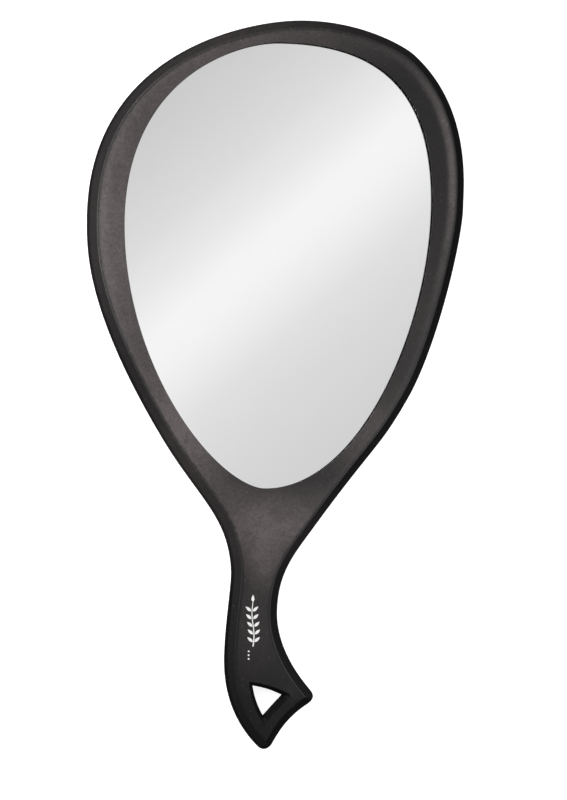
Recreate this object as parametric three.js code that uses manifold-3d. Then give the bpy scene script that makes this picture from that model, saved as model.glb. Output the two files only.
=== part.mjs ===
// Large teardrop hand mirror: two moulded shells joined along the rim, with a silvered glass pane held
// between the lip of the front frame and foam pads on the rear shell.
// Millimetres. The mirror lies on its flat back: +Z out of the glass, +Y from the handle to the top of
// the head, +X to the right. The origin is under the middle of the whole outline, on the back.

import * as THREE from 'three';
import { mergeVertices } from 'three/addons/utils/BufferGeometryUtils.js';
import Module from 'manifold-3d';

// ---- Driving dimensions ----

// Outer outline, counter-clockwise from the top: x, y, heading in degrees, pull before, pull after.
// The pulls are the lengths of the curve handles on each side of the point.
const OUTLINE = [
  [10, 184.5, 182.5, 32, 24.5],
  [-95.5, 79.5, 271, 88.5, 12],
  [-57.5, -27, 301, 75, 36],
  [-22.5, -94.5, 272.5, 28, 7],
  [-26, -143, 272.5, 15.5, 17],
  [-9, -183, 314.5, 14, 4],
  [-1.5, -181.5, 60, 3, 6.5],
  [15.5, -162.5, 33.5, 11.5, 2],
  [18.5, -155.5, 123.5, 4.5, 2.5],
  [1, -114.5, 88, 21.5, 19.5],
  [20, -72, 53.5, 18, 53],
  [68, -7, 60, 30, 31],
  [96.5, 90.5, 89.5, 15.5, 8.5],
  [71, 168, 138.5, 41, 7],
];

// Window, where the lip of the front frame ends on the glass. Same columns.
const WINDOW = [
  [1, 172, 180, 50.5, 22.5],
  [-77, 80, 270, 73.5, 73.5],
  [-5, -52.5, 0, 24.5, 47.5],
  [79, 93.5, 90, 61.5, 55],
];

// Hanging hole at the front face: x, y of each corner and how far the side after it bows outwards.
const HANGING_HOLE = [
  [-13.8, -150.2, 1.2],
  [-6.5, -170.4, -0.2],
  [6.2, -156.8, 0.9],
];
const HOLE_CORNER = 0.9;            // how far from each corner of the hole its rounding starts
const HOLE_CHAMFER_DROP = 2;        // depth of the chamfer around the hole
const HOLE_CHAMFER = 1;             // how much narrower the hole is below the chamfer, each side
const HOLE_TAPER = 1.6;             // how much narrower the hole is at the back, each side

const THICKNESS = 12;               // back to front face
const PARTING_Z = 3;                // height of the joint between the two shells
const SHOULDER_Z = 8;               // top of the steep side wall, where the bevel starts
const SHOULDER_INSET = 0.8;         // lean of the side wall
const BEVEL_INSET = 4.5;            // outer outline to the face edge of the bevel
const BACK_ROUND = [[0, 3], [0.4, 1.5], [1.3, 0.5]]; // height and inset of the rounded edge at the back

const WALL = 2.2;                   // moulded wall
const FLOOR = 2;                    // rear panel
const FACE_UNDERSIDE = 9.6;         // inner side of the front face, just above the glass
const HAUNCH_INSET = 2.9;           // inner side of the wall at HAUNCH_Z, below the bevel
const HAUNCH_Z = 7.2;
const ROOF_INSET = 5.3;             // inner side of the wall where it meets FACE_UNDERSIDE
const LIP_CHAMFER = 0.8;            // chamfer of the lip around the glass

const GLASS_LAP = 3;                // how far the glass runs under the lip
const GLASS_TOP = 9.3;
const GLASS_THICKNESS = 2;
const SILVER_THICKNESS = 0.1;
const FILM_THICKNESS = 0.15;
const LAYER_STEP = 1;               // each layer behind the glass stops this far inside its edge

const GLASS_RIB_GAP = 0.6;          // glass edge to the rib that locates it
const GLASS_RIB = 1.4;              // thickness of that rib
const GLASS_RIB_Z = 5.6;            // its lower edge

const TONGUE_GAP = 0.3;             // clearance between the tongue of the rear shell and the wall
const TONGUE = 1.2;                 // thickness of the tongue
const TONGUE_Z = 4.6;               // its upper edge

const PAD = { length: 26, width: 14, thickness: 1.6 };
const PAD_SEAT_Z = 5.2;             // top of the seats that carry the foam pads
// Middle of each pad and the way its length points, in degrees.
const PADS = [
  [-4, 150, 0],
  [-54, 92, 75],
  [56, 104, 105],
  [-38, 22, 115],
  [42, 28, 60],
  [-2, -28, 0],
];

const PEG_RADIUS = 1.8;
const PEG_Z = 8;                    // top of the joining pegs on the rear shell
const SOCKET_GAP = 0.3;
const SOCKET_WALL = 1.6;
const SOCKET_Z = 3.6;               // mouth of the sockets in the front frame
const PEGS = [[-86, 84], [87.5, 104], [-6, -72], [-12, -104], [-13.5, -140]];

const STIFFENER_INSET = 14;         // stiffening ring on the rear panel, measured in from the window
const STIFFENER = 1.4;
const STIFFENER_Z = 4.4;

const STEP = 7;                     // longest straight stretch of a curved outline
const TURN_STEP = 10;               // most degrees of turn in one stretch
const HAIR = 0.1;                   // overlap that makes a cut pass through or a joint bite
const NEAR_ENOUGH = 0.96;           // share of its inset that a moved point keeps from the whole loop

const wasm = await Module();
wasm.setup();

// ---- Outlines ----

function direction(degrees) {
  const angle = THREE.MathUtils.degToRad(degrees);
  return new THREE.Vector2(Math.cos(angle), Math.sin(angle));
}

// Closed loop of points along the smooth curve through the anchors.
function curveLoop(anchors) {
  const loop = [];
  anchors.forEach((anchor, index) => {
    const next = anchors[(index + 1) % anchors.length];
    const start = new THREE.Vector2(anchor[0], anchor[1]);
    const end = new THREE.Vector2(next[0], next[1]);
    const curve = new THREE.CubicBezierCurve(
      start,
      start.clone().addScaledVector(direction(anchor[2]), anchor[4]),
      end.clone().addScaledVector(direction(next[2]), -next[3]),
      end,
    );
    const turn = Math.abs(((next[2] - anchor[2] + 540) % 360) - 180);
    const pieces = Math.max(2, Math.ceil(curve.getLength() / STEP), Math.ceil(turn / TURN_STEP));
    loop.push(...curve.getSpacedPoints(pieces).slice(0, -1));
  });
  return loop;
}

// Closed loop of a polygon whose sides bow outwards and whose corners are rounded.
function bowedPolygon(corners) {
  const points = corners.map(([x, y]) => new THREE.Vector2(x, y));
  const count = points.length;
  const loop = [];
  points.forEach((corner, index) => {
    const before = points[(index + count - 1) % count];
    const after = points[(index + 1) % count];
    const arrive = corner.clone().addScaledVector(before.clone().sub(corner).normalize(), HOLE_CORNER);
    const leave = corner.clone().addScaledVector(after.clone().sub(corner).normalize(), HOLE_CORNER);
    const reach = after.clone().addScaledVector(corner.clone().sub(after).normalize(), HOLE_CORNER);
    const side = after.clone().sub(corner).normalize();
    const outwards = new THREE.Vector2(side.y, -side.x);
    const crown = corner.clone().lerp(after, 0.5).addScaledVector(outwards, 2 * corners[index][2]);
    loop.push(...new THREE.QuadraticBezierCurve(arrive, corner, leave).getPoints(3).slice(0, -1));
    loop.push(...new THREE.QuadraticBezierCurve(leave, crown, reach).getPoints(6).slice(0, -1));
  });
  return loop;
}

function distanceToLoop(point, loop) {
  let nearest = Infinity;
  loop.forEach((start, index) => {
    const side = loop[(index + 1) % loop.length].clone().sub(start);
    const along = THREE.MathUtils.clamp(point.clone().sub(start).dot(side) / side.lengthSq(), 0, 1);
    nearest = Math.min(nearest, point.distanceTo(start.clone().addScaledVector(side, along)));
  });
  return nearest;
}

// Point where the line a-b, carried on, meets the line c-d.
function meet(a, b, c, d) {
  const first = b.clone().sub(a);
  const second = d.clone().sub(c);
  const share = c.clone().sub(a).cross(second) / first.cross(second);
  return a.clone().addScaledVector(first, share);
}

// The loop moved inwards by depth, or outwards by a negative depth, point by point. Where a corner is
// too tight for all its points, they gather at the new corner.
function inset(loop, depth) {
  const count = loop.length;
  const at = (list, index) => list[(index + 2 * count) % count];
  const moved = loop.map((point, index) => {
    const along = at(loop, index + 1).clone().sub(at(loop, index - 1)).normalize();
    return new THREE.Vector2(point.x - along.y * depth, point.y + along.x * depth);
  });
  const goesOn = (index) => {
    const step = at(moved, index + 1).clone().sub(at(moved, index));
    return step.dot(at(loop, index + 1).clone().sub(at(loop, index))) > 0;
  };
  const clear = moved.map((point, index) => (
    goesOn(index) && goesOn(index - 1) && distanceToLoop(point, loop) > Math.abs(depth) * NEAR_ENOUGH
  ));
  const ring = moved.map((point) => point.clone());
  // How far the corner lies ahead of the point at index, in the direction that leads up to that point.
  const ahead = (corner, index, step) => {
    const leadUp = at(moved, index).clone().sub(at(moved, index - step));
    return corner.clone().sub(at(moved, index)).dot(leadUp);
  };
  clear.forEach((isClear, crowded) => {
    if (isClear || !at(clear, crowded - 1)) return;
    let from = crowded - 1;
    let to = crowded + 1;
    while (!at(clear, to)) to += 1;
    const corner = new THREE.Vector2();
    for (let settled = false; !settled;) {
      corner.copy(meet(at(moved, from - 1), at(moved, from), at(moved, to + 1), at(moved, to)));
      settled = ahead(corner, from, 1) >= 0 && ahead(corner, to, -1) >= 0;
      if (ahead(corner, from, 1) < 0) from -= 1;
      if (ahead(corner, to, -1) < 0) to += 1;
    }
    for (let index = from + 1; index < to; index += 1) at(ring, index).copy(corner);
  });
  return ring;
}

const rawOutline = curveLoop(OUTLINE);
const centre = new THREE.Box2().setFromPoints(rawOutline).getCenter(new THREE.Vector2());
const centred = (loop) => loop.map((point) => point.clone().sub(centre));

const outline = centred(rawOutline);
const windowLoop = centred(curveLoop(WINDOW));
const holeLoop = centred(bowedPolygon(HANGING_HOLE));

// ---- Solids ----

function solidFrom(positions, faces) {
  const raw = new THREE.BufferGeometry();
  raw.setAttribute('position', new THREE.Float32BufferAttribute(positions, 3));
  raw.setIndex(faces);
  const merged = mergeVertices(raw, 1e-4);
  const corners = merged.index.array;
  const kept = [];
  for (let index = 0; index < corners.length; index += 3) {
    const [a, b, c] = [corners[index], corners[index + 1], corners[index + 2]];
    if (a !== b && b !== c && c !== a) kept.push(a, b, c);
  }
  return new wasm.Manifold(new wasm.Mesh({
    numProp: 3,
    vertProperties: new Float32Array(merged.attributes.position.array),
    triVerts: new Uint32Array(kept),
  }));
}

// Solid through rings of equal length, given from the lowest up as [height, loop].
function loft(levels) {
  const count = levels[0][1].length;
  const positions = levels.flatMap(([z, loop]) => loop.flatMap((point) => [point.x, point.y, z]));
  const faces = [];
  for (let level = 0; level + 1 < levels.length; level += 1) {
    const low = level * count;
    const high = low + count;
    for (let index = 0; index < count; index += 1) {
      const next = (index + 1) % count;
      faces.push(low + index, low + next, high + next, low + index, high + next, high + index);
    }
  }
  const top = (levels.length - 1) * count;
  THREE.ShapeUtils.triangulateShape(levels[0][1], []).forEach(([a, b, c]) => faces.push(a, c, b));
  THREE.ShapeUtils.triangulateShape(levels[levels.length - 1][1], [])
    .forEach(([a, b, c]) => faces.push(top + a, top + b, top + c));
  return solidFrom(positions, faces);
}

const prism = (loop, low, high) => loft([[low, loop], [high, loop]]);

// Wall of even height between a loop and the same loop moved inwards.
function ringWall(loop, outerDepth, thickness, low, high) {
  const outer = prism(inset(loop, outerDepth), low, high);
  const inner = prism(inset(loop, outerDepth + thickness), low - HAIR, high + HAIR);
  return outer.subtract(inner);
}

function geometrySolid(geometry) {
  geometry.deleteAttribute('normal');
  geometry.deleteAttribute('uv');
  const merged = mergeVertices(geometry, 1e-4);
  return solidFrom(merged.attributes.position.array, Array.from(merged.index.array));
}

function post([x, y], radius, low, high) {
  const geometry = new THREE.CylinderGeometry(radius, radius, high - low, 16);
  geometry.rotateX(Math.PI / 2);
  geometry.translate(x - centre.x, y - centre.y, (low + high) / 2);
  return geometrySolid(geometry);
}

function padBlock([x, y, degrees], low, high) {
  const geometry = new THREE.BoxGeometry(PAD.length, PAD.width, high - low);
  geometry.rotateZ(THREE.MathUtils.degToRad(degrees));
  geometry.translate(x - centre.x, y - centre.y, (low + high) / 2);
  return geometrySolid(geometry);
}

// ---- Sub-parts ----

const holeThroat = inset(holeLoop, HOLE_CHAMFER);
const holeBack = inset(holeLoop, HOLE_TAPER);

// Cut of the hanging hole: chamfered at the front, then narrowing to the back.
function hangingHole() {
  return loft([
    [-1, holeBack],
    [0, holeBack],
    [THICKNESS - HOLE_CHAMFER_DROP, holeThroat],
    [THICKNESS, holeLoop],
    [THICKNESS + 1, holeLoop],
  ]);
}

function frontFrame() {
  const body = loft([
    [PARTING_Z, outline],
    [SHOULDER_Z, inset(outline, SHOULDER_INSET)],
    [THICKNESS, inset(outline, BEVEL_INSET)],
  ]);
  const hollow = loft([
    [PARTING_Z - HAIR, inset(outline, WALL)],
    [HAUNCH_Z, inset(outline, HAUNCH_INSET)],
    [FACE_UNDERSIDE, inset(outline, ROOF_INSET)],
  ]);
  const windowCut = loft([
    [FACE_UNDERSIDE - HAIR, windowLoop],
    [THICKNESS - LIP_CHAMFER, windowLoop],
    [THICKNESS, inset(windowLoop, -LIP_CHAMFER)],
    [THICKNESS + 1, inset(windowLoop, -LIP_CHAMFER)],
  ]);
  const rootZ = FACE_UNDERSIDE + HAIR;
  const glassRib = ringWall(windowLoop, -GLASS_LAP - GLASS_RIB_GAP - GLASS_RIB, GLASS_RIB, GLASS_RIB_Z, rootZ);
  const holeWall = prism(inset(holeLoop, -WALL), PARTING_Z, rootZ);
  const socketBore = PEG_RADIUS + SOCKET_GAP;
  let frame = body.subtract(hollow).subtract(windowCut).add(glassRib).add(holeWall);
  PEGS.forEach((place) => {
    frame = frame.add(post(place, socketBore + SOCKET_WALL, SOCKET_Z, rootZ));
    frame = frame.subtract(post(place, socketBore, SOCKET_Z - HAIR, PEG_Z + SOCKET_GAP));
  });
  return frame.subtract(hangingHole());
}

function rearShell() {
  const body = loft([
    ...BACK_ROUND.map(([z, depth]) => [z, inset(outline, depth)]),
    [PARTING_Z, outline],
  ]);
  const dish = prism(inset(outline, WALL), FLOOR, PARTING_Z + HAIR);
  const rootZ = FLOOR - HAIR;
  const tongue = ringWall(outline, WALL + TONGUE_GAP, TONGUE, rootZ, TONGUE_Z);
  const stiffener = ringWall(windowLoop, STIFFENER_INSET, STIFFENER, rootZ, STIFFENER_Z);
  const holeWall = prism(inset(holeLoop, -WALL), rootZ, PARTING_Z);
  let shell = body.subtract(dish).add(tongue).add(stiffener).add(holeWall);
  PEGS.forEach((place) => {
    shell = shell.add(post(place, PEG_RADIUS, rootZ, PEG_Z));
  });
  PADS.forEach((place) => {
    shell = shell.add(padBlock(place, rootZ, PAD_SEAT_Z));
  });
  return shell.subtract(hangingHole());
}

const glassBottom = GLASS_TOP - GLASS_THICKNESS;
const silverBottom = glassBottom - SILVER_THICKNESS;
const filmBottom = silverBottom - FILM_THICKNESS;

const mirrorGlass = () => prism(inset(windowLoop, -GLASS_LAP), glassBottom, GLASS_TOP);
const silverBacking = () => prism(inset(windowLoop, -GLASS_LAP + LAYER_STEP), silverBottom, glassBottom);
const safetyFilm = () => prism(inset(windowLoop, -GLASS_LAP + LAYER_STEP), filmBottom, silverBottom);
const foamPad = (place) => padBlock(place, PAD_SEAT_Z, PAD_SEAT_Z + PAD.thickness);

// ---- Assembly ----

const framePlastic = new THREE.MeshStandardMaterial({ color: '#2c2a2a', roughness: 0.55, metalness: 0 });
const shellPlastic = new THREE.MeshStandardMaterial({ color: '#232222', roughness: 0.6, metalness: 0 });
const clearGlass = new THREE.MeshStandardMaterial({ color: '#e9efee', roughness: 0.03, metalness: 0 });
const silver = new THREE.MeshStandardMaterial({ color: '#e6e7e8', roughness: 0.04, metalness: 1 });
const film = new THREE.MeshStandardMaterial({ color: '#5c6468', roughness: 0.5, metalness: 0 });
const foam = new THREE.MeshStandardMaterial({ color: '#d8d5cc', roughness: 0.95, metalness: 0 });

function subPart(name, solid, material) {
  const { vertProperties, triVerts } = solid.getMesh();
  const geometry = new THREE.BufferGeometry();
  geometry.setAttribute('position', new THREE.BufferAttribute(vertProperties, 3));
  geometry.setIndex(new THREE.BufferAttribute(triVerts, 1));
  geometry.computeVertexNormals();
  const mesh = new THREE.Mesh(geometry, material);
  mesh.name = name;
  return mesh;
}

const handMirror = new THREE.Group();
handMirror.add(subPart('front_frame', frontFrame(), framePlastic));
handMirror.add(subPart('rear_shell', rearShell(), shellPlastic));
handMirror.add(subPart('mirror_glass', mirrorGlass(), clearGlass));
handMirror.add(subPart('silver_backing', silverBacking(), silver));
handMirror.add(subPart('safety_film', safetyFilm(), film));
PADS.forEach((place, index) => {
  handMirror.add(subPart(`foam_pad_${index + 1}`, foamPad(place), foam));
});

export default handMirror;
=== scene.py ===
"""Visual model of a large teardrop hand mirror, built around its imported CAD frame.

The outline is the same smooth curve as the CAD model's. The window and the edge of the hanging hole
differ from the CAD model's by up to about a millimetre. Shapes are worked out in millimetres in the
frame of the part: it lies on its flat back, +Z out of the glass, +Y to the top of the head. They are
scaled to metres when their meshes are made.
"""
import math
import bmesh
import bpy
import numpy as np
from mathutils import Matrix, Vector
from mathutils.bvhtree import BVHTree
from mathutils.geometry import delaunay_2d_cdt

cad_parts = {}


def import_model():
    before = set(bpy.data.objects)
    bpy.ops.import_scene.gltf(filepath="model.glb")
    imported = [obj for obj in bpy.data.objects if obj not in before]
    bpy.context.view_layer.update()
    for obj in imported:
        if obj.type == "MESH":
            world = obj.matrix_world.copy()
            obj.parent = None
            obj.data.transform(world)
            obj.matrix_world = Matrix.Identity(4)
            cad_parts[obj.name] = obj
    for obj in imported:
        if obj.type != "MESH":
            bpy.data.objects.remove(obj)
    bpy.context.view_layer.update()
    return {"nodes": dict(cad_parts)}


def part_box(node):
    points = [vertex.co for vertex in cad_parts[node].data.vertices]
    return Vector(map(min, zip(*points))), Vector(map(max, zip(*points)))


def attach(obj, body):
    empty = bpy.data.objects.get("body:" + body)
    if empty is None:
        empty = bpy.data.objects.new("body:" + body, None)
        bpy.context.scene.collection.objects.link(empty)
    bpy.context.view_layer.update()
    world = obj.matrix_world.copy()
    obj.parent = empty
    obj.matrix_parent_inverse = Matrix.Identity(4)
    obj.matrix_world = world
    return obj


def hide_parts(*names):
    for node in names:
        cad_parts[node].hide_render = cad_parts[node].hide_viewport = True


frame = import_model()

MM = 0.001

# ---- Driving dimensions, in millimetres ----

# x, y, heading in degrees, pull before, pull after: anchors of a smooth curve, counter-clockwise.
OUTLINE = [
    (10, 184.5, 182.5, 32, 24.5),
    (-95.5, 79.5, 271, 88.5, 12),
    (-57.5, -27, 301, 75, 36),
    (-22.5, -94.5, 272.5, 28, 7),
    (-26, -143, 272.5, 15.5, 17),
    (-9, -183, 314.5, 14, 4),
    (-1.5, -181.5, 60, 3, 6.5),
    (15.5, -162.5, 33.5, 11.5, 2),
    (18.5, -155.5, 123.5, 4.5, 2.5),
    (1, -114.5, 88, 21.5, 19.5),
    (20, -72, 53.5, 18, 53),
    (68, -7, 60, 30, 31),
    (96.5, 90.5, 89.5, 15.5, 8.5),
    (71, 168, 138.5, 41, 7),
]
WINDOW = [
    (1.5, 172.5, 180, 51.5, 22.5),
    (-77, 80, 270, 73.5, 73.5),
    (-5, -52.5, 0, 24.5, 48.5),
    (79.5, 93.5, 90, 62, 56),
]
# x, y of each corner of the hanging hole at the face, and how far the side after it bows outwards.
HANGING_HOLE = [(-13.8, -150.2, 1.2), (-6.5, -170.4, -0.2), (6.2, -156.8, 0.9)]
HOLE_CORNER = 0.5
HOLE_CHAMFER = (0.7, 1.3, 3.4)  # reach outside and inside the outline of the hole, and drop
HOLE_THROAT_ROUND = 0.3
HOLE_INSET = 1.45               # at the parting line
HOLE_BACK_ROUND = [(1.2, 0), (1.5, 0.1), (1.6, 0.4)]    # inset and height of its edge at the back

# How finely curves are drawn.
STEP = 1.0                      # longest straight stretch of an outline
TURN_STEP = 5.0                 # most degrees of turn in one stretch
FINE_POINTS = 200               # points that measure the length of one curve
CORNER_PIECES = 6               # stretches in each corner of the hanging hole
SIDE_PIECES = 20                # and in each of its sides
ARC_POINTS = 5                  # points in each rounded corner of a profile
LEAD_IN = 0.35                  # beside the corner one more point, at this share of what it trims off
NEAR_ENOUGH = 0.97              # share of its inset that a moved point keeps from the whole loop
TINY = 1e-12                    # keeps divisions away from zero
BATCH = 500                     # points that are measured against a loop at once
WELD = 2e-7                     # points closer than this become one, in metres

WALL = 2.2
PARTING_GAP = 0.16              # fine groove between the two shells
BEVEL_FOOT_ROUND = 0.25
BEVEL_KNEE = (0.8, 8, 1.5)      # inset, height and radius where the steep side leans over into the bevel
BEVEL_INSET = 4.6
BEVEL_TOP_ROUND = 0.6
CREST_INSET = BEVEL_INSET + 0.5     # the crest is the edge where the crowned face starts
CREST_RISE = 0.05               # from the bevel's upper edge to the crest
CROWN_DROP = 0.45               # the crest lies this far below the crown of the face
CROWN_REACH = 9.5               # the face rises over this distance from the crest
DISH_SLOPE = 0.09               # around the glass the face falls this steeply towards it
DISH_REACH = 8.8                # and it starts to fall at this distance from the window
CREASE_BLEND = 0.05             # height over which crown and dish melt into each other
LIP_ROUND = 0.2
LIP_REACH = 2 * LIP_ROUND       # the rounding of the lip starts this far outside the window
LIP_RISE = 0.02
LIP_FOOT_ROUND = 0.1
LIP_THICKNESS = 0.5
LIP_OVERHANG = 1.6              # width of the shadow groove under the lip
LIP_UNDERSIDE = 9.6
CAVITY_KNEE = (2.9, 7.2)        # inset and height from which the inner side follows the bevel
CAVITY_TOP_INSET = 5.3
GRID = 1.0                      # spacing of the points that carry the crowned face
GRID_CLEAR = 0.6                # the least distance from these points to the edges of the face
FACE_SMOOTHING = 2              # rounds of smoothing over the whole face
HANDLE_SMOOTHING = 40           # and more of them outside the dish

BACK_ROUND = 3.2                # width of the round-over between the back and the side
BACK_ROUND_SHARE = 0.9          # share of the rear shell's height that it takes
BACK_RINGS = 10                 # rings of points in the round-over
SHELL_RIM = [(0.06, 0.12), (0.2, 0)]    # inset, and distance below the rear shell's upper edge
LEDGE_INSET = WALL + 0.3
LEDGE_TOP = 4.6                 # a ledge runs round the inside of the rear shell's wall
FLOOR_INSET = WALL + 1.5
FLOOR_TOP = 2.0

GLASS_LAP = 3.0                 # the glass runs on this far beyond the window
GLASS_ARRIS = 0.25
GLASS_SINK = 0.02               # the glass reaches this far into its silvering
SILVER_LAP = GLASS_LAP - 1
SILVER_ARRIS = 0.01

# Painted light: pale patches in the coat's colour that stand for where the frame catches light. x, y,
# reach along x, reach along y, strength and the part it is on, which is the whole face, the outer rim of
# the face or the bevel.
PAINTED_LIGHT_PATCHES = [
    (-85, 75, 40, 95, 0.76, "face"),
    (-40, 165, 50, 30, 0.48, "face"),
    (10, 178, 60, 14, 0.28, "face"),
    (88, 112, 30, 50, 0.63, "rim"),
    (75, 80, 50, 110, 0.09, "face"),
    (72, 25, 20, 40, 0.12, "face"),
    (45, -25, 25, 25, 0.42, "face"),
    (-52, -32, 26, 36, 0.84, "face"),
    (-3, -71, 38, 17, 0.8, "face"),
    (-7, -90, 8, 13, 0.44, "face"),
    (-14, -122, 14, 26, 0.21, "face"),
    (-92, 75, 35, 95, 0.15, "bevel"),
    (-25, 180, 75, 35, 0.25, "bevel"),
    (-50, -45, 30, 36, 0.28, "bevel"),
    (-3, -75, 40, 20, 0.15, "bevel"),
]
RIM_END = (3.0, 5.0)            # the rim ends softly between these distances from the crest
PAINTED_LIGHT_EDGE = 1.0                  # at the crest the painted light on the face fades over this distance
PAINTED_LIGHT_DEPTH = 1.5                 # inside the crest nothing further than this below the top gets painted light

# Printed sprig on the handle.
SPRIG_FOOT = (-13, -132)
SPRIG_LENGTH = 26
SPRIG_PAIRS = 5
STEM_POINTS = 30
STEM_SWAY = 0.5
STEM_HALF_WIDTH = 0.32
STEM_TAPER = 0.12
FIRST_PAIR = 3                  # stem point that carries the lowest pair of leaves
PAIR_SPACING = 5                # stem points from one pair to the next
LEAF = (3.7, 1.5)               # length, width
LEAF_HEADINGS = (42, 138)
LEAF_OFFSET = 0.45              # from the middle of the stem to the foot of a leaf
LEAF_POINTS = 12
LEAF_TIP = 0.02                 # share of the length that is left off at each pointed end
LEAF_FULLNESS = 0.8             # below 1 a leaf is widest nearer its foot
TOP_LEAF_GAP = 0.1
DOT_COUNT = 3
DOT_OFFSET = (-2.2, -2.4)       # from the foot of the sprig to the first dot
DOT_SPACING = 1.9
DOT_RADIUS = 0.45
DOT_POINTS = 10
DOT_SEAM = 0.03                 # share of a half turn that is left off at each end of a dot's edges
INK_HEIGHT = 0.04


# ---- Outlines ----

def heading(degrees):
    angle = math.radians(degrees)
    return np.array([math.cos(angle), math.sin(angle)])


def bezier(controls, shares):
    """Points of a Bezier curve of any order at the given shares of its run."""
    order = len(controls) - 1
    points = np.zeros((len(shares), 2))
    for index, control in enumerate(controls):
        weight = math.comb(order, index) * shares**index * (1 - shares) ** (order - index)
        points += weight[:, None] * np.asarray(control, float)
    return points


def even_points(controls, pieces):
    """Evenly spaced points along a Bezier curve, without its last one."""
    fine = bezier(controls, np.linspace(0, 1, FINE_POINTS))
    length = np.concatenate([[0], np.cumsum(np.linalg.norm(np.diff(fine, axis=0), axis=1))])
    wanted = np.linspace(0, length[-1], pieces, endpoint=False)
    return np.column_stack([np.interp(wanted, length, fine[:, axis]) for axis in (0, 1)])


def curve_loop(anchors):
    """Closed loop of points along the smooth curve through the anchors."""
    parts = []
    for index, (x, y, turn, _, pull_after) in enumerate(anchors):
        next_x, next_y, next_turn, pull_before, _ = anchors[(index + 1) % len(anchors)]
        start, end = np.array([x, y], float), np.array([next_x, next_y], float)
        leave, arrive = start + pull_after * heading(turn), end - pull_before * heading(next_turn)
        controls = [start, leave, arrive, end]
        bend = abs((next_turn - turn + 540) % 360 - 180)
        run = np.linalg.norm(np.diff(np.array(controls), axis=0), axis=1).sum()
        pieces = max(2, math.ceil(run / STEP), math.ceil(bend / TURN_STEP))
        parts.append(even_points(controls, pieces))
    return np.vstack(parts)


def bowed_polygon(corners):
    """Closed loop of a polygon whose sides bow outwards and whose corners are rounded."""
    points = [np.array(corner[:2], float) for corner in corners]
    parts = []
    for index, corner in enumerate(points):
        before, after = points[index - 1], points[(index + 1) % len(points)]
        side = (after - corner) / np.linalg.norm(after - corner)
        back = (before - corner) / np.linalg.norm(before - corner)
        leave, reach = corner + HOLE_CORNER * side, after - HOLE_CORNER * side
        crown = (corner + after) / 2 + 2 * corners[index][2] * np.array([side[1], -side[0]])
        parts.append(even_points([corner + HOLE_CORNER * back, corner, leave], CORNER_PIECES))
        parts.append(even_points([leave, crown, reach], SIDE_PIECES))
    return np.vstack(parts)


def distance_to_loop(points, loop):
    """Distance from each point to the nearest side of a loop."""
    side = np.roll(loop, -1, axis=0) - loop
    length_squared = np.maximum((side**2).sum(axis=1), TINY)
    nearest = np.empty(len(points))
    for first in range(0, len(points), BATCH):
        gap = points[first:first + BATCH, None] - loop[None]
        along = np.clip((gap * side).sum(axis=2) / length_squared, 0, 1)
        nearest[first:first + BATCH] = np.linalg.norm(gap - along[..., None] * side, axis=2).min(axis=1)
    return nearest


def inside_loop(points, loop):
    """True for each point that lies inside a loop."""
    after = np.roll(loop, -1, axis=0)
    inside = np.zeros(len(points), bool)
    for (x0, y0), (x1, y1) in zip(loop, after):
        crosses = (y0 > points[:, 1]) != (y1 > points[:, 1])
        if crosses.any():
            reach = (x1 - x0) * (points[:, 1] - y0) / (y1 - y0 if y1 != y0 else TINY) + x0
            inside ^= crosses & (points[:, 0] < reach)
    return inside


def meet(a, b, c, d):
    """Point where the line a-b, carried on, meets the line c-d."""
    first, second, gap = b - a, d - c, c - a
    share = (gap[0] * second[1] - gap[1] * second[0]) / (first[0] * second[1] - first[1] * second[0])
    return a + share * first


def inset(loop, depth):
    """The loop moved inwards by depth, or outwards by a negative depth, point by point.

    Where a corner is too tight for all its points, they gather at the new corner.
    """
    count = len(loop)
    along = np.roll(loop, -1, axis=0) - np.roll(loop, 1, axis=0)
    along /= np.linalg.norm(along, axis=1)[:, None]
    moved = loop + depth * np.column_stack([-along[:, 1], along[:, 0]])
    steps = ((np.roll(moved, -1, axis=0) - moved) * (np.roll(loop, -1, axis=0) - loop)).sum(axis=1)
    clear = (steps > 0) & (np.roll(steps, 1) > 0)
    clear &= distance_to_loop(moved, loop) > abs(depth) * NEAR_ENOUGH
    ring = moved.copy()

    def ahead(corner, index, step):
        lead_up = moved[index % count] - moved[(index - step) % count]
        return (corner - moved[index % count]) @ lead_up

    for crowded in np.flatnonzero(~clear):
        if not clear[crowded - 1]:
            continue
        start, stop = crowded - 1, crowded + 1
        while not clear[stop % count]:
            stop += 1
        while True:
            corner = meet(moved[(start - 1) % count], moved[start % count],
                          moved[(stop + 1) % count], moved[stop % count])
            behind_start, behind_stop = ahead(corner, start, 1) < 0, ahead(corner, stop, -1) < 0
            if not (behind_start or behind_stop):
                break
            start -= behind_start
            stop += behind_stop
        for index in range(start + 1, stop):
            ring[index % count] = corner
    return ring


def rounded_profile(corners):
    """Points along a polyline of (inset, height, radius), with each corner rounded to its radius."""
    corners = [np.array(corner, float) for corner in corners]
    points = [corners[0][:2]]
    for before, corner, after in zip(corners, corners[1:], corners[2:]):
        back, on = before[:2] - corner[:2], after[:2] - corner[:2]
        back, on = back / np.linalg.norm(back), on / np.linalg.norm(on)
        half = math.acos(np.clip(back @ on, -1, 1)) / 2
        trim = corner[2] / math.tan(half)
        arrive, leave = corner[:2] + trim * back, corner[:2] + trim * on
        points.append(arrive + LEAD_IN * trim * back)
        points.extend(bezier([arrive, corner[:2], leave], np.linspace(0, 1, ARC_POINTS)))
        points.append(leave + LEAD_IN * trim * on)
    points.append(corners[-1][:2])
    return points


raw_outline = curve_loop(OUTLINE)
middle = (raw_outline.min(axis=0) + raw_outline.max(axis=0)) / 2
outline = raw_outline - middle
window = curve_loop(WINDOW) - middle
hole = bowed_polygon(HANGING_HOLE) - middle
crest = inset(outline, CREST_INSET)

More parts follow.
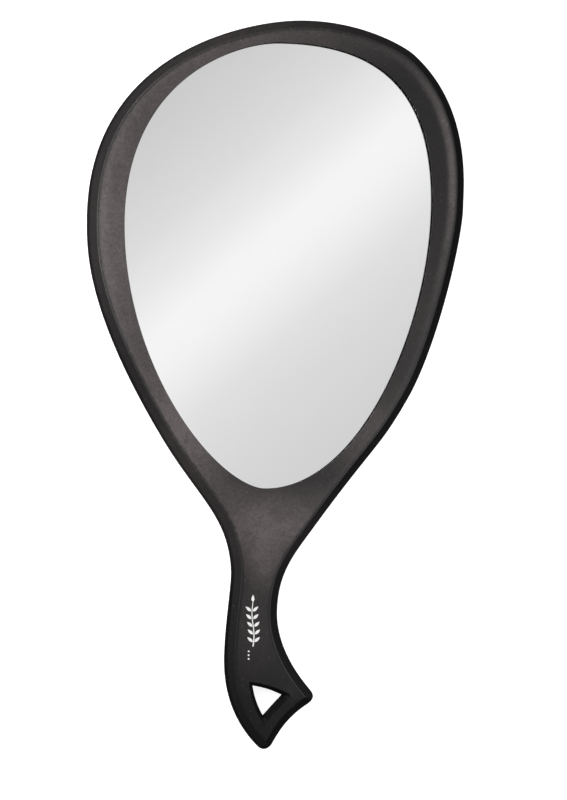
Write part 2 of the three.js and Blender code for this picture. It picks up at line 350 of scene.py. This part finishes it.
parting_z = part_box("front_frame")[0][2] / MM
top_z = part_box("front_frame")[1][2] / MM
glass_low, glass_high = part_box("mirror_glass")[0][2] / MM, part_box("mirror_glass")[1][2] / MM
silver_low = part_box("silver_backing")[0][2] / MM


# ---- Meshes ----

class Skin:
    """Collects rings of points, the strips between them and the fields inside them, in millimetres."""

    def __init__(self):
        self.points = []
        self.faces = []
        self.count = 0

    def add(self, loop, heights):
        ids = np.arange(self.count, self.count + len(loop))
        self.points.append(np.column_stack([loop, np.broadcast_to(heights, len(loop))]))
        self.count += len(loop)
        return ids

    def strip(self, first, second):
        for a, b, c, d in zip(first, np.roll(first, -1), np.roll(second, -1), second):
            self.faces.append((a, b, c, d))

    def rings(self, loop, profile, start=None):
        """Rings of a loop at each (inset, height) of a profile, joined one to the next."""
        last = start
        for depth, height in profile:
            ids = self.add(inset(loop, depth) if depth else loop, height)
            if last is not None:
                self.strip(last, ids)
            last = ids
        return last

    def field(self, outer, holes, extra=None):
        """Fills between an outer ring and the rings of its holes, through extra points if given."""
        table = self.table()
        ids = np.concatenate([outer, *holes] + ([extra] if extra is not None else []))
        flat = table[ids, :2]
        edges = []
        first = 0
        for ring in (outer, *holes):
            count = len(ring)
            edges += [(first + index, first + (index + 1) % count) for index in range(count)]
            first += count
        whole_hull = 0
        nearness = 1e-7
        result = delaunay_2d_cdt([Vector(point) for point in flat], edges, [], whole_hull, nearness)
        vertices, _, faces, origins = result[:4]
        source = [ids[origin[0]] for origin in origins]
        triangles = np.array([face for face in faces if len(face) == 3])
        places = np.array([[vertex.x, vertex.y] for vertex in vertices])
        centres = places[triangles].mean(axis=1)
        keep = inside_loop(centres, table[outer, :2])
        for ring in holes:
            keep &= ~inside_loop(centres, table[ring, :2])
        self.faces += [tuple(source[corner] for corner in face) for face in triangles[keep]]

    def relax(self, ids, rounds):
        """Smooths heights: each of the given points moves to the mean height of its neighbours."""
        table = self.table()
        sides = np.array([pair for face in self.faces for pair in zip(face, face[1:] + face[:1])])
        sides = np.vstack([sides, sides[:, ::-1]])
        sides = sides[np.isin(sides[:, 0], ids)]
        neighbours = np.bincount(sides[:, 0], minlength=len(table))
        for _ in range(rounds):
            total = np.bincount(sides[:, 0], table[sides[:, 1], 2], len(table))
            table[ids, 2] = total[ids] / neighbours[ids]
        self.points = [table]

    def table(self):
        return np.vstack(self.points)

    def piece(self, name, smooth_degrees):
        mesh = bpy.data.meshes.new(name)
        faces = [list(map(int, face)) for face in self.faces]
        mesh.from_pydata((self.table() * MM).tolist(), [], faces)
        work = bmesh.new()
        work.from_mesh(mesh)
        bmesh.ops.remove_doubles(work, verts=work.verts, dist=WELD)
        bmesh.ops.recalc_face_normals(work, faces=work.faces)
        work.to_mesh(mesh)
        work.free()
        mesh.shade_smooth()
        mesh.set_sharp_from_angle(angle=math.radians(smooth_degrees))
        obj = bpy.data.objects.new(name, mesh)
        bpy.context.scene.collection.objects.link(obj)
        return obj


def soft_min(first, second, blend):
    """The lower of two heights, with the corner between them rounded over a blend height."""
    share = np.clip(0.5 + 0.5 * (second - first) / blend, 0, 1)
    return second * (1 - share) + first * share - blend * share * (1 - share)


def face_height(points):
    """Height of the frame's face: a crown that rises from its crest, cut by a dish around the glass."""
    rise = np.clip(distance_to_loop(points, crest) / CROWN_REACH, 0, 1)
    crown = -CROWN_DROP * (1 - rise) ** 2
    dish = DISH_SLOPE * (distance_to_loop(points, window) - DISH_REACH)
    return top_z + soft_min(crown, dish, CREASE_BLEND)


def face_grid(borders):
    """Hexagonal grid of points inside the first border and outside the others, kept clear of them all."""
    low, high = outline.min(axis=0), outline.max(axis=0)
    rows = []
    for index, y in enumerate(np.arange(low[1], high[1], GRID * math.sqrt(3) / 2)):
        x = np.arange(low[0], high[0], GRID) + (index % 2) * GRID / 2
        rows.append(np.column_stack([x, np.full(len(x), y)]))
    points = np.vstack(rows)
    keep = inside_loop(points, borders[0])
    for border in borders[1:]:
        keep &= ~inside_loop(points, border)
    points = points[keep]
    for border in borders:
        points = points[distance_to_loop(points, border) > GRID_CLEAR]
    return points


# ---- Pieces ----

def front_frame():
    """Front moulding: bevel, crowned and dished face, lip of the window, hanging hole, open underside."""
    skin = Skin()
    low = parting_z + PARTING_GAP / 2
    crest_z = top_z - CROWN_DROP
    sill = skin.rings(outline, [(WALL, low)])
    bevel = rounded_profile([
        (WALL, low, 0),
        (0, low, BEVEL_FOOT_ROUND),
        BEVEL_KNEE,
        (BEVEL_INSET, crest_z - CREST_RISE, BEVEL_TOP_ROUND),
        (CREST_INSET, crest_z, 0),
    ])[1:-1]
    rim = skin.rings(outline, bevel, sill)
    crest_ring = skin.add(crest, face_height(crest))
    skin.strip(rim, crest_ring)

    lip = inset(window, -LIP_REACH)
    lip_ring = skin.add(lip, face_height(lip))
    flare, throat, drop = HOLE_CHAMFER
    mouth = inset(hole, -flare)
    mouth_ring = skin.add(mouth, face_height(mouth))
    grid = face_grid([crest, lip, mouth])
    grid_ids = skin.add(grid, face_height(grid))
    skin.field(crest_ring, [lip_ring, mouth_ring], grid_ids)
    skin.relax(grid_ids, FACE_SMOOTHING)
    beyond_dish = grid_ids[distance_to_loop(grid, window) > DISH_REACH + GRID]
    skin.relax(beyond_dish, HANDLE_SMOOTHING)

    lip_top = top_z - DISH_SLOPE * DISH_REACH
    lip_profile = rounded_profile([
        (-LIP_REACH, lip_top + LIP_RISE, 0),
        (0, lip_top, 0.8 * LIP_ROUND),
        (0, lip_top - LIP_THICKNESS, LIP_FOOT_ROUND),
        (-LIP_OVERHANG, lip_top - LIP_THICKNESS, LIP_FOOT_ROUND),
        (-LIP_OVERHANG, LIP_UNDERSIDE, 0),
    ])[1:]
    window_ring = skin.rings(window, lip_profile, lip_ring)

    hole_top = face_height(hole).mean()
    chamfer = rounded_profile([
        (-flare, hole_top, 0),
        (throat, hole_top - drop, HOLE_THROAT_ROUND),
        (HOLE_INSET, low, 0),
    ])[1:]
    hole_foot = skin.rings(hole, chamfer, mouth_ring)

    roof = skin.rings(outline, [(WALL, low), CAVITY_KNEE, (CAVITY_TOP_INSET, LIP_UNDERSIDE)])
    boss = skin.rings(hole, [(-WALL, low), (-WALL, LIP_UNDERSIDE)], hole_foot)
    skin.field(roof, [window_ring, boss])
    return skin.piece("front_frame_moulding", smooth_degrees=35)


def rear_shell():
    """Rear moulding: flat back with a round-over, open dish inside and the boss of the hanging hole."""
    skin = Skin()
    high = parting_z - PARTING_GAP / 2
    quarter = np.linspace(0, math.pi / 2, BACK_RINGS)
    round_top = BACK_ROUND_SHARE * high
    back = [(BACK_ROUND * (1 - math.sin(turn)), round_top * (1 - math.cos(turn))) for turn in quarter]
    rim = [(depth, high - below) for depth, below in SHELL_RIM]
    foot = skin.rings(outline, back[:1])
    side = skin.rings(outline, back[1:] + rim, foot)
    dish = skin.rings(outline, [
        (LEDGE_INSET, high),
        (LEDGE_INSET, LEDGE_TOP),
        (FLOOR_INSET, LEDGE_TOP),
        (FLOOR_INSET, FLOOR_TOP),
    ], side)

    hole_foot = skin.rings(hole, HOLE_BACK_ROUND[:1])
    boss_profile = [(HOLE_INSET, high), (-WALL, high), (-WALL, FLOOR_TOP)]
    boss = skin.rings(hole, HOLE_BACK_ROUND[1:] + boss_profile, hole_foot)
    skin.field(dish, [boss])
    skin.field(foot, [hole_foot])
    return skin.piece("rear_shell_moulding", smooth_degrees=35)


def pane(name, lap, low, high, arris):
    """Flat pane with polished edges that follows the window at a distance."""
    skin = Skin()
    foot = skin.rings(window, [(-lap + arris, low)])
    top = skin.rings(window, [(-lap, low + arris), (-lap, high - arris), (-lap + arris, high)], foot)
    skin.faces.append(tuple(top))
    skin.faces.append(tuple(foot[::-1]))
    return skin.piece(name, smooth_degrees=30)


def patch(skin, left, right, surface):
    """Thin closed patch of ink between two edges that run side by side, lying on the surface below."""
    loop = np.vstack([left, right[::-1]])
    heights = surface(loop)
    top, foot = skin.add(loop, heights + INK_HEIGHT), skin.add(loop, heights - INK_HEIGHT)
    skin.strip(foot, top)
    last = len(loop) - 1
    for index in range(len(left) - 1):
        quad = (index, index + 1, last - index - 1, last - index)
        skin.faces.append(tuple(top[corner] for corner in quad))
        skin.faces.append(tuple(foot[corner] for corner in quad[::-1]))


def leaf_edges(foot, turn, length, width):
    """Left and right edge of a pointed leaf that grows from its foot along a heading."""
    along = heading(turn)
    side = np.array([-along[1], along[0]])
    share = np.linspace(LEAF_TIP, 1 - LEAF_TIP, LEAF_POINTS)[:, None]
    spine = np.asarray(foot) + length * share * along
    half = width / 2 * np.sin(math.pi * share**LEAF_FULLNESS)
    return spine + half * side, spine - half * side


def printed_sprig(surface):
    """Upright sprig: a swaying stem, pairs of leaves along it and one leaf at its top."""
    skin = Skin()
    foot_x, foot_y = SPRIG_FOOT
    share = np.linspace(0, 1, STEM_POINTS)
    stem_x = foot_x + STEM_SWAY * np.sin(2 * math.pi * share)
    stem_y = foot_y + share * (SPRIG_LENGTH - LEAF[0])
    half = STEM_HALF_WIDTH - STEM_TAPER * share
    left, right = np.column_stack([stem_x - half, stem_y]), np.column_stack([stem_x + half, stem_y])
    patch(skin, left, right, surface)
    for pair in range(SPRIG_PAIRS):
        at = FIRST_PAIR + pair * PAIR_SPACING
        for turn in LEAF_HEADINGS:
            offset = math.copysign(LEAF_OFFSET, math.cos(math.radians(turn)))
            patch(skin, *leaf_edges((stem_x[at] + offset, stem_y[at]), turn, *LEAF), surface)
    top = (stem_x[-1], stem_y[-1] + TOP_LEAF_GAP)
    patch(skin, *leaf_edges(top, 90, *LEAF), surface)
    return skin.piece("printed_sprig", smooth_degrees=40)


def printed_dots(surface):
    """Column of dots below the sprig, each made of two half circles that face each other."""
    skin = Skin()
    turn = np.linspace(DOT_SEAM, 1 - DOT_SEAM, DOT_POINTS) * math.pi
    arc = DOT_RADIUS * np.column_stack([np.sin(turn), np.cos(turn)])
    for number in range(DOT_COUNT):
        x, y = SPRIG_FOOT[0] + DOT_OFFSET[0], SPRIG_FOOT[1] + DOT_OFFSET[1] - DOT_SPACING * number
        centre = np.array([x, y])
        patch(skin, centre - arc * (1, -1), centre + arc, surface)
    return skin.piece("printed_dots", smooth_degrees=40)


def top_surface(obj):
    """Returns a function that gives the height of an object's upper surface at points."""
    tree = BVHTree.FromPolygons([vertex.co for vertex in obj.data.vertices],
                                [polygon.vertices for polygon in obj.data.polygons])
    far_above = 1.0
    down = Vector((0, 0, -1))

    def surface(points):
        starts = [Vector((x * MM, y * MM, far_above)) for x, y in points]
        return np.array([tree.ray_cast(start, down)[0].z / MM for start in starts])
    return surface


def mark_painted_light(obj):
    """Stores on each vertex how much painted light it gets: pale coat colour for where the frame catches
    light, on the face and on the bevel.
    """
    places = np.array([vertex.co for vertex in obj.data.vertices]) / MM
    flat = places[:, :2]
    from_crest = distance_to_loop(flat, crest)
    on_face = inside_loop(flat, crest)
    face = on_face * np.clip(from_crest / PAINTED_LIGHT_EDGE, 0, 1)
    rim = face * (1 - np.clip((from_crest - RIM_END[0]) / (RIM_END[1] - RIM_END[0]), 0, 1))
    parts = {"face": face, "rim": rim, "bevel": ~on_face}
    painted_light = np.zeros(len(flat))
    # each patch adds painted light, pale coat colour where the frame catches light
    for x, y, reach_x, reach_y, strength, part in PAINTED_LIGHT_PATCHES:
        fall = ((flat[:, 0] - x) / reach_x) ** 2 + ((flat[:, 1] - y) / reach_y) ** 2
        painted_light += strength * np.exp(-fall) * parts[part]
    painted_light[on_face & (places[:, 2] < top_z - PAINTED_LIGHT_DEPTH)] = 0
    attribute = obj.data.attributes.new("painted_light", "FLOAT", "POINT")
    attribute.data.foreach_set("value", painted_light.astype(np.float32))


front = front_frame()
# paints light onto the front moulding as pale patches of coat colour
mark_painted_light(front)
rear = rear_shell()
glass = pane("glass_pane", GLASS_LAP, glass_low - GLASS_SINK, glass_high, GLASS_ARRIS)
silver = pane("silver_coat", SILVER_LAP, silver_low, glass_low, SILVER_ARRIS)
face_surface = top_surface(front)
sprig = printed_sprig(face_surface)
dots = printed_dots(face_surface)

for piece, node, slot_name in (
    (front, "front_frame", "frame_plastic"),
    (rear, "rear_shell", "shell_plastic"),
    (glass, "mirror_glass", "glass"),
    (silver, "silver_backing", "silver"),
):
    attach(piece, "root")
    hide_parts(node)
for piece in (sprig, dots):
    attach(piece, "root")


# ---- Materials ----

class Nodes:
    """Small helper for building a node tree."""

    def __init__(self, tree):
        self.tree = tree

    def add(self, kind, **values):
        node = self.tree.nodes.new(kind)
        for name, value in values.items():
            setattr(node, name, value)
        return node

    def link(self, source, target):
        self.tree.links.new(source, target)

    def noise(self, where, scale, detail, roughness=0.5):
        node = self.add("ShaderNodeTexNoise")
        node.inputs["Scale"].default_value = scale
        node.inputs["Detail"].default_value = detail
        node.inputs["Roughness"].default_value = roughness
        self.link(where, node.inputs["Vector"])
        return node.outputs["Fac"]

    def spread(self, value, low, high, to_low, to_high):
        """Maps low..high to to_low..to_high and holds the ends."""
        node = self.add("ShaderNodeMapRange")
        sockets = ("From Min", "From Max", "To Min", "To Max")
        for socket, number in zip(sockets, (low, high, to_low, to_high)):
            node.inputs[socket].default_value = number
        self.link(value, node.inputs["Value"])
        return node.outputs["Result"]

    def maths(self, operation, first, second):
        node = self.add("ShaderNodeMath", operation=operation)
        for socket, value in zip(node.inputs, (first, second)):
            if isinstance(value, (int, float)):
                socket.default_value = value
            else:
                self.link(value, socket)
        return node.outputs["Value"]

    def mix(self, share, first, second):
        """Colour between two colours, each a tuple or a socket."""
        node = self.add("ShaderNodeMix", data_type="RGBA")
        self.link(share, node.inputs["Factor"])
        colour_a, colour_b = node.inputs[6], node.inputs[7]
        for socket, value in ((colour_a, first), (colour_b, second)):
            if isinstance(value, tuple):
                socket.default_value = (*value, 1)
            else:
                self.link(value, socket)
        colour_result = node.outputs[2]
        return colour_result


def new_material(name):
    material = bpy.data.materials.new(name)
    material.use_nodes = True
    nodes = Nodes(material.node_tree)
    shader = material.node_tree.nodes["Principled BSDF"]
    where = nodes.add("ShaderNodeTexCoord").outputs["Object"]
    return material, nodes, shader, where


PAINTED_LIGHT_COLOUR = (0.110, 0.0925, 0.0935)     # colour of the painted light, a pale warm grey
DUST = (0.3, 0.3, 0.29)


def plastic(name, colour, pale, roughness, grain):
    """Black moulded plastic: cloudy tone, mottled painted light from the stored patches, fine grain, pale
    specks.
    """
    material, nodes, shader, where = new_material(name)
    clouds = nodes.noise(where, scale=130, detail=4, roughness=0.65)
    mottle = nodes.noise(where, scale=800, detail=3, roughness=0.7)
    base = nodes.mix(nodes.spread(clouds, 0.3, 0.7, 0, 1), colour, pale)
    # painted light: the stored patches mix a pale coat colour into the black, mottled by the noise
    painted_light = nodes.add("ShaderNodeAttribute", attribute_name="painted_light").outputs["Fac"]
    painted_light = nodes.maths("MULTIPLY", painted_light, nodes.spread(clouds, 0.3, 0.7, 0.8, 1.2))
    painted_light = nodes.maths("MULTIPLY", painted_light, nodes.spread(mottle, 0.3, 0.7, 0.7, 1.3))
    base = nodes.mix(painted_light, base, PAINTED_LIGHT_COLOUR)
    specks = nodes.spread(nodes.noise(where, scale=1500, detail=1), 0.73, 0.78, 0, 0.35)
    nodes.link(nodes.mix(specks, base, DUST), shader.inputs["Base Color"])
    sheen = nodes.spread(clouds, 0.25, 0.75, roughness + 0.05, roughness - 0.05)
    nodes.link(sheen, shader.inputs["Roughness"])
    bump = nodes.add("ShaderNodeBump")
    bump.inputs["Strength"].default_value = grain
    bump.inputs["Distance"].default_value = 0.05 * MM
    nodes.link(nodes.noise(where, scale=3500, detail=2, roughness=0.6), bump.inputs["Height"])
    nodes.link(bump.outputs["Normal"], shader.inputs["Normal"])
    shader.inputs["Specular IOR Level"].default_value = 0.5
    return material


def white_ink():
    """Screen-printed white ink, a little uneven and chipped in places."""
    material, nodes, shader, where = new_material("white_print_ink")
    cover = nodes.noise(where, scale=900, detail=3, roughness=0.6)
    tone = nodes.mix(nodes.spread(cover, 0.3, 0.7, 0, 1), (0.84, 0.84, 0.83), (0.93, 0.93, 0.92))
    chips = nodes.spread(nodes.noise(where, scale=2400, detail=2), 0.7, 0.76, 0, 0.6)
    nodes.link(nodes.mix(chips, tone, (0.2, 0.2, 0.2)), shader.inputs["Base Color"])
    nodes.link(nodes.spread(cover, 0.3, 0.7, 0.5, 0.65), shader.inputs["Roughness"])
    return material


def clear_glass():
    """Clear float glass with faint smears."""
    material, nodes, shader, where = new_material("clear_float_glass")
    smears = nodes.noise(where, scale=25, detail=4, roughness=0.6)
    nodes.link(nodes.spread(smears, 0.35, 0.75, 0.0, 0.012), shader.inputs["Roughness"])
    shader.inputs["Base Color"].default_value = (0.994, 0.998, 0.996, 1)
    shader.inputs["Transmission Weight"].default_value = 1
    shader.inputs["IOR"].default_value = 1.52
    return material


def silvering():
    """Mirror silver with a trace of haze."""
    material, nodes, shader, where = new_material("silvering")
    haze = nodes.noise(where, scale=40, detail=3)
    nodes.link(nodes.spread(haze, 0.3, 0.7, 0.0, 0.01), shader.inputs["Roughness"])
    tone = nodes.mix(haze, (0.95, 0.95, 0.95), (0.965, 0.965, 0.965))
    nodes.link(tone, shader.inputs["Base Color"])
    shader.inputs["Metallic"].default_value = 1
    return material


def film_material():
    """Grey safety film with a fine fibre pattern."""
    material, nodes, shader, where = new_material("grey_safety_film")
    fibre = nodes.noise(where, scale=900, detail=2)
    tone = nodes.mix(fibre, (0.09, 0.105, 0.115), (0.13, 0.15, 0.16))
    nodes.link(tone, shader.inputs["Base Color"])
    nodes.link(nodes.spread(fibre, 0.3, 0.7, 0.4, 0.55), shader.inputs["Roughness"])
    return material


def foam_material():
    """Pale foam with small closed cells."""
    material, nodes, shader, where = new_material("closed_cell_foam")
    cells = nodes.add("ShaderNodeTexVoronoi")
    cells.inputs["Scale"].default_value = 1800
    nodes.link(where, cells.inputs["Vector"])
    tone = nodes.mix(cells.outputs["Distance"], (0.72, 0.7, 0.65), (0.5, 0.48, 0.44))
    nodes.link(tone, shader.inputs["Base Color"])
    bump = nodes.add("ShaderNodeBump")
    bump.inputs["Distance"].default_value = 0.2 * MM
    nodes.link(cells.outputs["Distance"], bump.inputs["Height"])
    nodes.link(bump.outputs["Normal"], shader.inputs["Normal"])
    shader.inputs["Roughness"].default_value = 0.95
    return material


def paint(obj, material):
    obj.data.materials.clear()
    obj.data.materials.append(material)


def paint_node(name, material):
    for material_slot in frame["nodes"][name].material_slots:
        material_slot.material = material


COAT_BLACK = ((0.002, 0.0018, 0.0018), (0.005, 0.0046, 0.0045))
SHELL_BLACK = ((0.004, 0.0038, 0.0037), (0.008, 0.0076, 0.0075))

paint(front, plastic("charcoal_soft_touch", *COAT_BLACK, roughness=0.4, grain=0.25))
paint(rear, plastic("black_shell_plastic", *SHELL_BLACK, roughness=0.45, grain=0.35))
paint(glass, clear_glass())
ink = white_ink()
paint(sprig, ink)
paint(dots, ink)
paint(silver, silvering())
paint_node("safety_film", film_material())
for number in range(1, 7):
    paint_node(f"foam_pad_{number}", foam_material())


# ---- Stage, light and camera ----

# Round soft lights: place in metres and power in watts.
LIGHTS = [
    ((-0.35, 0.45, 0.5), 2.0),
    ((-0.35, 0.05, 0.5), 0.82),
    ((-0.25, 0.06, 0.22), 0.26),
    ((0.4, 0.35, 0.5), 0.33),
    ((0.3, 0.1, 0.5), 0.15),
    ((0.2, -0.1, 0.22), 0.25),
]
LIGHT_SIZE = 0.2
LIGHT_AIM = (0, 0.03, 0)

# Soft glow of the walls: the heading that it comes from, in degrees, and its level.
WALL_BASE = 0.22
WALLS = [(100, 0.4), (190, 0.15)]
WALL_FOOT = (0.15, 0.24)        # the glow fades in between these heights of a direction
WALL_TOP = (0.84, 0.94)         # and out between these
CEILING = 0.03

# The bright ceiling panel over the glass, in tangents of the angle from overhead.
PANEL_X = (0.055, 0.185)
PANEL_Y = (-0.05, 0.12)
PANEL_EDGE = 0.03               # it fades over this much beyond its sides
PANEL_HEIGHT = (0.5, 0.6)       # and it fades out between these heights of a direction
LOWEST = 0.2                    # least height of a direction that tangents are worked out with

# Brightness across the panel: tangent of the angle from overhead along the axis, and level.
STREAK_AXIS = (-0.656, 0.755)
STREAK = [(-0.105, 0.66), (-0.067, 0.79), (-0.047, 0.95), (-0.034, 0.86), (-0.023, 0.76), (0.005, 0.63)]

FLOOR_REACH = 4
FLOOR_DROP = 0.3 * MM
FLOOR_GLOW = 0.85

CAMERA_DISTANCE = 1.815
CAMERA_LEAN = 7                 # degrees that it stands to the left of straight above
CAMERA_TARGET = (4, -7.8, 5)    # in the millimetres of the outline's anchors
VIEW_HEIGHT = 0.4048            # height of the view at the target, in metres
SENSOR_HEIGHT = 24


def floor():
    """Large pale floor, kept out of reflections and bounced light so that it doesn't tint the mirror."""
    mesh = bpy.data.meshes.new("floor")
    signs = ((-1, -1), (1, -1), (1, 1), (-1, 1))
    corners = [(x * FLOOR_REACH, y * FLOOR_REACH, -FLOOR_DROP) for x, y in signs]
    mesh.from_pydata(corners, [], [(0, 1, 2, 3)])
    obj = bpy.data.objects.new("floor", mesh)
    bpy.context.scene.collection.objects.link(obj)
    material, nodes, shader, where = new_material("pale_floor")
    tone = nodes.mix(nodes.noise(where, scale=3, detail=2), (0.86, 0.86, 0.86), (0.9, 0.9, 0.9))
    nodes.link(tone, shader.inputs["Base Color"])
    shader.inputs["Roughness"].default_value = 0.9
    shader.inputs["Emission Color"].default_value = (1, 1, 1, 1)
    shader.inputs["Emission Strength"].default_value = FLOOR_GLOW
    paint(obj, material)
    obj.visible_glossy = False
    obj.visible_diffuse = False


def streak_ramp(nodes, across):
    """Brightness of the panel, from how far a direction lies along the streak's axis."""
    first, last = STREAK[0][0], STREAK[-1][0]
    ramp = nodes.add("ShaderNodeValToRGB")
    nodes.link(nodes.spread(across, first, last, 0, 1), ramp.inputs["Fac"])
    ramp.color_ramp.interpolation = "CARDINAL"
    stops = ramp.color_ramp.elements
    for place, _ in STREAK[1:-1]:
        stops.new((place - first) / (last - first))
    for stop, (place, level) in zip(stops, STREAK):
        stop.position = (place - first) / (last - first)
        stop.color = (level, level, level, 1)
    return ramp.outputs["Color"]


def panel_mask(nodes, x, y, z, lift):
    """1 in the directions of the ceiling panel and 0 away from it."""
    mask = nodes.spread(z, *PANEL_HEIGHT, 0, 1)
    for axis, (low, high) in ((x, PANEL_X), (y, PANEL_Y)):
        slope = nodes.maths("DIVIDE", axis, lift)
        mask = nodes.maths("MULTIPLY", mask, nodes.spread(slope, low - PANEL_EDGE, low, 0, 1))
        mask = nodes.maths("MULTIPLY", mask, nodes.spread(slope, high, high + PANEL_EDGE, 1, 0))
    return mask


def wall_glow(nodes, x, y, z):
    """Soft glow of the walls, brightest beyond the head and faded out towards floor and ceiling."""
    glow = WALL_BASE
    for turn, level in WALLS:
        east, north = heading(turn).tolist()
        towards = nodes.maths("ADD", nodes.maths("MULTIPLY", x, east), nodes.maths("MULTIPLY", y, north))
        lobe = nodes.maths("MULTIPLY", nodes.maths("MAXIMUM", towards, 0.0), level)
        glow = nodes.maths("ADD", glow, lobe)
    glow = nodes.maths("MULTIPLY", glow, nodes.spread(z, *WALL_FOOT, 0, 1))
    return nodes.maths("MULTIPLY", glow, nodes.spread(z, *WALL_TOP, 1, 0))


def world():
    """Studio surround: softly glowing walls and a dim ceiling with one bright panel over the glass."""
    scene = bpy.context.scene
    scene.world = bpy.data.worlds.new("studio")
    scene.world.use_nodes = True
    nodes = Nodes(scene.world.node_tree)
    split = nodes.add("ShaderNodeSeparateXYZ")
    nodes.link(nodes.add("ShaderNodeTexCoord").outputs["Generated"], split.inputs[0])
    x, y, z = split.outputs

    lift = nodes.maths("MAXIMUM", z, LOWEST)
    along_x, along_y = (nodes.maths("MULTIPLY", axis, part) for axis, part in zip((x, y), STREAK_AXIS))
    across = nodes.maths("DIVIDE", nodes.maths("ADD", along_x, along_y), lift)
    shade = nodes.add("ShaderNodeMix", data_type="FLOAT")
    nodes.link(panel_mask(nodes, x, y, z, lift), shade.inputs["Factor"])
    nodes.link(nodes.maths("ADD", wall_glow(nodes, x, y, z), CEILING), shade.inputs["A"])
    nodes.link(streak_ramp(nodes, across), shade.inputs["B"])
    background = scene.world.node_tree.nodes["Background"]
    nodes.link(shade.outputs["Result"], background.inputs["Color"])


def softbox(place, power):
    """Round soft light that points at the mirror and that the camera doesn't see."""
    light = bpy.data.lights.new("softbox", "AREA")
    light.shape = "DISK"
    light.size = LIGHT_SIZE
    light.energy = power
    obj = bpy.data.objects.new("softbox", light)
    obj.location = place
    obj.rotation_euler = (Vector(LIGHT_AIM) - Vector(place)).to_track_quat("-Z", "Y").to_euler()
    obj.visible_camera = False
    bpy.context.scene.collection.objects.link(obj)


def camera():
    """Camera above the mirror, a little to its left, with the top of the head upwards."""
    lean = math.radians(CAMERA_LEAN)
    x, y, z = CAMERA_TARGET
    target = MM * Vector((x - middle[0], y - middle[1], z))
    back = Vector((-math.sin(lean), 0, math.cos(lean)))
    right = Vector((0, 1, 0)).cross(back).normalized()
    up = back.cross(right)
    turned = Matrix((right, up, back)).transposed().to_4x4()
    data = bpy.data.cameras.new("camera")
    data.sensor_fit = "VERTICAL"
    data.sensor_height = SENSOR_HEIGHT
    data.lens = SENSOR_HEIGHT * CAMERA_DISTANCE / VIEW_HEIGHT
    obj = bpy.data.objects.new("camera", data)
    obj.matrix_world = Matrix.Translation(target + CAMERA_DISTANCE * back) @ turned
    bpy.context.scene.collection.objects.link(obj)
    bpy.context.scene.camera = obj


floor()
world()
for place, power in LIGHTS:
    softbox(place, power)
camera()
bpy.context.scene.view_settings.view_transform = "Standard"
